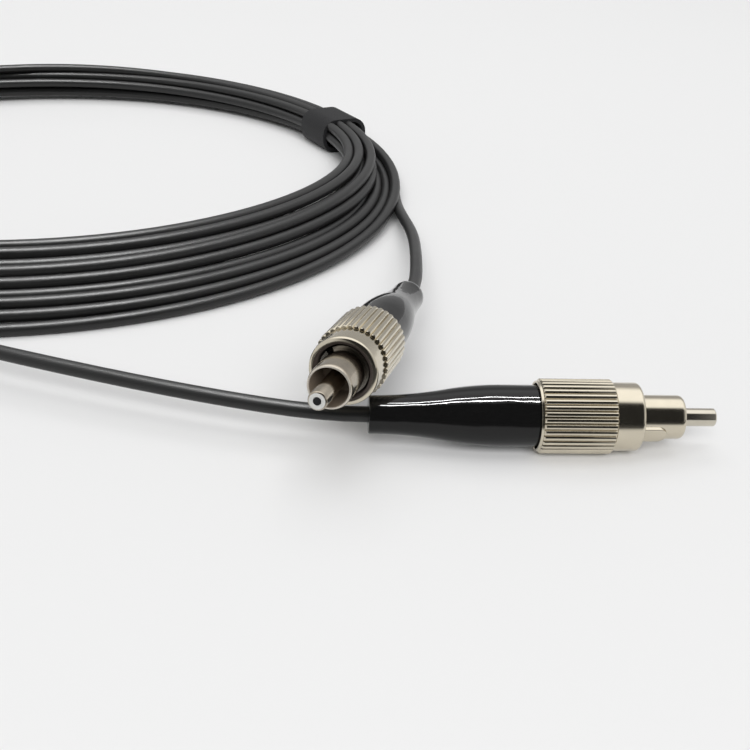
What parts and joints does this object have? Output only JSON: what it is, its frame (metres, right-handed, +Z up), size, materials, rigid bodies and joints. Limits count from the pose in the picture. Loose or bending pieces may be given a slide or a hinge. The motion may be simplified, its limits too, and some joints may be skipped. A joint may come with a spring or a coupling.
{
  "type": "plastic fibre patch cord",
  "caption": "Coiled simplex plastic fibre cord with a keyed, spring-loaded ferrule plug, knurled screw coupling nut and bend-relief boot on each end.",
  "frame": {"origin": "on the table under the middle of the box round the two plugs", "axes": "+X out of plug a along its ferrule, +Z up from the table"},
  "size_m": [0.1949, 0.2053, 0.0178],
  "materials": {
    "nickel": "bright nickel plate",
    "ferrule_metal": "ground, polished at the tip",
    "spring_steel": "bright wire",
    "sleeve_metal": "satin",
    "boot_plastic": "glossy",
    "jacket": "satin extruded",
    "fibre": "clear, polished",
    "strap": "woven hook and loop"
  },
  "bodies": {
    "cord": {"cable_coil": "jacket", "cable_lead_a": "jacket", "cable_lead_b": "jacket", "coil_tie": "strap", "plug_frame_a": "nickel", "rear_body_a": "nickel", "crimp_sleeve_a": "sleeve_metal", "boot_a": "boot_plastic", "cable_end_a": "jacket", "ferrule_spring_a": "spring_steel", "plug_frame_b": "nickel", "rear_body_b": "nickel", "crimp_sleeve_b": "sleeve_metal", "boot_b": "boot_plastic", "cable_end_b": "jacket", "ferrule_spring_b": "spring_steel"},
    "ring_a": {"retaining_ring_a": "spring_steel"},
    "nut_a": {"coupling_nut_a": "nickel"},
    "ferrule_a": {"ferrule_a": "ferrule_metal", "fibre_end_a": "fibre"},
    "ring_b": {"retaining_ring_b": "spring_steel"},
    "nut_b": {"coupling_nut_b": "nickel"},
    "ferrule_b": {"ferrule_b": "ferrule_metal", "fibre_end_b": "fibre"}
  },
  "joints": [
    {"name": "nut_spin_a", "type": "hinge", "parent": "cord", "child": "ring_a", "pos_m": [0.01728, -0.00912, 0.0051], "axis": [1, 0, 0], "continuous": true},
    {"name": "nut_slide_a", "type": "slide", "parent": "ring_a", "child": "nut_a", "axis": [1, 0, 0], "range_m": [0, 0.0049]},
    {"name": "ferrule_slide_a", "type": "slide", "parent": "cord", "child": "ferrule_a", "axis": [1, 0, 0], "range_m": [-0.0009, 0], "stiffness_N_per_m": 1000, "springref_m": 0.005, "deforming": ["ferrule_spring_a"]},
    {"name": "nut_spin_b", "type": "hinge", "parent": "cord", "child": "ring_b", "pos_m": [-0.02336, -0.01248, 0.01321], "axis": [-0.3115, -0.9424, 0.1219], "continuous": true},
    {"name": "nut_slide_b", "type": "slide", "parent": "ring_b", "child": "nut_b", "axis": [-0.3115, -0.9424, 0.1219], "range_m": [0, 0.0049]},
    {"name": "ferrule_slide_b", "type": "slide", "parent": "cord", "child": "ferrule_b", "axis": [-0.3115, -0.9424, 0.1219], "range_m": [-0.0009, 0], "stiffness_N_per_m": 1000, "springref_m": 0.005, "deforming": ["ferrule_spring_b"]}
  ]
}
